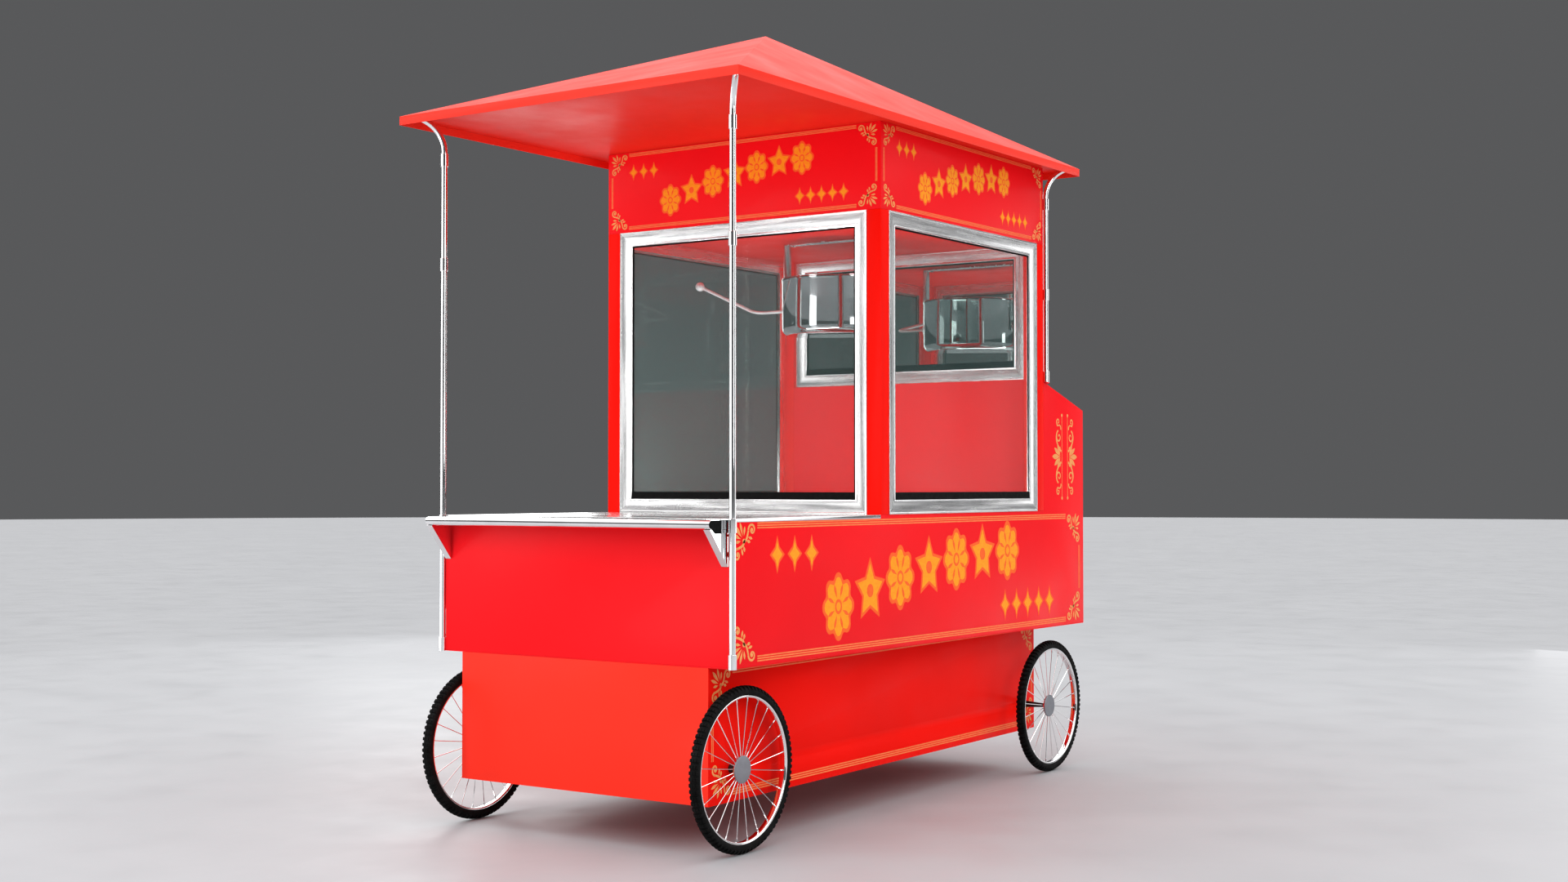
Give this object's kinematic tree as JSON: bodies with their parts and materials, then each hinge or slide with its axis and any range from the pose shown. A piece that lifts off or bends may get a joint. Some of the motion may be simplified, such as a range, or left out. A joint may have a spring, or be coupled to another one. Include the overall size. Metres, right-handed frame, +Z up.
{
  "type": "popcorn cart",
  "caption": "Red four-wheeled popcorn cart with a glazed cabinet, tilting kettle, stainless counter, shelf and hipped roof on chromed tubes.",
  "frame": {"origin": "middle of the footprint of the whole cart's bounding box, on the ground the tyres stand on", "axes": "+X from the shelf end towards the console end, +Y towards the operator's side with the cabinet door, +Z up"},
  "size_m": [2.512, 1.3708, 2.6903],
  "materials": {
    "body_red": "gloss",
    "post_red": "gloss",
    "chassis_red": "gloss",
    "roof_red": "satin",
    "soffit_red": "satin",
    "chrome": "polished",
    "stainless": "brushed",
    "glass": "tinted clear",
    "mirror": "mirror polished",
    "tyre": "matt",
    "black_metal": "satin",
    "black_plastic": "gloss"
  },
  "bodies": {
    "cart": {"chassis": "chassis_red", "axle_front": "black_metal", "axle_rear": "black_metal", "body_floor": "body_red", "front_panel": "body_red", "side_panel_near": "body_red", "side_panel_far": "body_red", "console_rear_panel": "body_red", "console_top": "body_red", "counter_top": "stainless", "cabinet_floor": "stainless", "front_shelf": "chrome", "corner_post_front_near": "post_red", "corner_post_front_far": "post_red", "corner_post_rear_near": "post_red", "corner_post_rear_far": "post_red", "sign_front": "body_red", "sign_near": "body_red", "sign_far": "body_red", "sign_rear": "body_red", "cabinet_ceiling": "post_red", "front_frame": "chrome", "front_glass": "glass", "near_frame": "chrome", "near_glass": "glass", "rear_wall": "body_red", "rear_panel": "body_red", "rear_frame": "chrome", "rear_mirror": "mirror", "door_hinge_lower": "chrome", "door_hinge_upper": "chrome", "kettle_yoke": "stainless", "roof_shell": "roof_red", "roof_soffit": "soffit_red", "roof_tube_front_near": "chrome", "roof_tube_front_far": "chrome", "roof_tube_rear_near": "chrome", "roof_tube_rear_far": "chrome", "switch_plate": "stainless"},
    "wheel_front_near_body": {"wheel_front_near": "chrome", "tyre_front_near": "tyre"},
    "wheel_front_far_body": {"wheel_front_far": "chrome", "tyre_front_far": "tyre"},
    "wheel_rear_near_body": {"wheel_rear_near": "chrome", "tyre_rear_near": "tyre"},
    "wheel_rear_far_body": {"wheel_rear_far": "chrome", "tyre_rear_far": "tyre"},
    "door": {"door_frame": "chrome", "door_glass": "glass", "door_knob": "chrome"},
    "kettle": {"kettle_pot": "chrome", "kettle_handle": "chrome", "kettle_cover": "stainless"},
    "lid": {"kettle_lid": "stainless"},
    "stirrer_shaft": {"stirrer": "stainless"},
    "rocker_1_body": {"rocker_1": "black_plastic"},
    "rocker_2_body": {"rocker_2": "black_plastic"},
    "rocker_3_body": {"rocker_3": "black_plastic"}
  },
  "joints": [
    {"name": "wheel_front_near_spin", "type": "hinge", "parent": "cart", "child": "wheel_front_near_body", "pos_m": [-1.006, -0.5365, 0.25], "axis": [0, 1, 0], "continuous": true},
    {"name": "wheel_front_far_spin", "type": "hinge", "parent": "cart", "child": "wheel_front_far_body", "pos_m": [-1.006, 0.5365, 0.25], "axis": [0, 1, 0], "continuous": true},
    {"name": "wheel_rear_near_spin", "type": "hinge", "parent": "cart", "child": "wheel_rear_near_body", "pos_m": [1.006, -0.5365, 0.25], "axis": [0, 1, 0], "continuous": true},
    {"name": "wheel_rear_far_spin", "type": "hinge", "parent": "cart", "child": "wheel_rear_far_body", "pos_m": [1.006, 0.5365, 0.25], "axis": [0, 1, 0], "continuous": true},
    {"name": "door_swing", "type": "hinge", "parent": "cart", "child": "door", "pos_m": [0.823, 0.5915, 1.505], "axis": [0, 0, -1], "range_deg": [0, 110]},
    {"name": "kettle_tilt", "type": "hinge", "parent": "cart", "child": "kettle", "pos_m": [0.327, 0, 1.757], "axis": [0, -1, 0], "range_deg": [0, 80]},
    {"name": "lid_lift", "type": "hinge", "parent": "kettle", "child": "lid", "pos_m": [0.3085, 0, 1.8653], "axis": [0, 1, 0], "range_deg": [0, 45]},
    {"name": "stirrer_spin", "type": "hinge", "parent": "kettle", "child": "stirrer_shaft", "pos_m": [0.327, 0, 1.757], "axis": [0, 0, 1], "continuous": true},
    {"name": "rocker_1_tip", "type": "hinge", "parent": "cart", "child": "rocker_1_body", "pos_m": [1.04723, 0.315, 1.44523], "axis": [0, 1, 0], "range_deg": [-8, 8]},
    {"name": "rocker_2_tip", "type": "hinge", "parent": "cart", "child": "rocker_2_body", "pos_m": [1.04723, 0.36, 1.44523], "axis": [0, 1, 0], "range_deg": [-8, 8]},
    {"name": "rocker_3_tip", "type": "hinge", "parent": "cart", "child": "rocker_3_body", "pos_m": [1.04723, 0.405, 1.44523], "axis": [0, 1, 0], "range_deg": [-8, 8]}
  ]
}
